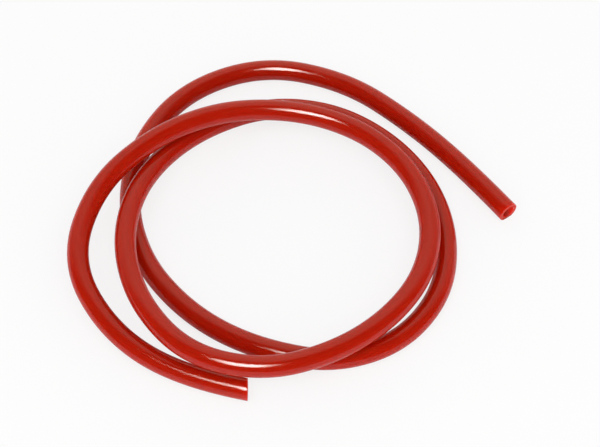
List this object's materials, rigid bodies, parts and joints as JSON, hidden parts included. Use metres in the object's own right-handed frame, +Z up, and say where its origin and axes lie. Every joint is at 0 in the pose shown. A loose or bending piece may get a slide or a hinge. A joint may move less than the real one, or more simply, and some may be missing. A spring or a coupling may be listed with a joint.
{
  "type": "length of hose",
  "caption": "Length of smooth flexible hose with a clear bore, lying flat in loose overlapping turns, its two ends plainly cut with no fittings.",
  "frame": {"origin": "on the surface that the hose lies on, under the middle of the hose's bounding box", "axes": "+Z up from the surface; +X towards the end that is cut square and runs off straight; -Y towards the end that is cut a little askew"},
  "size_m": [0.1678, 0.155, 0.0218],
  "materials": {
    "hose": "glossy, flexible, solid red"
  },
  "bodies": {
    "root": {"hose": "hose"}
  },
  "joints": []
}
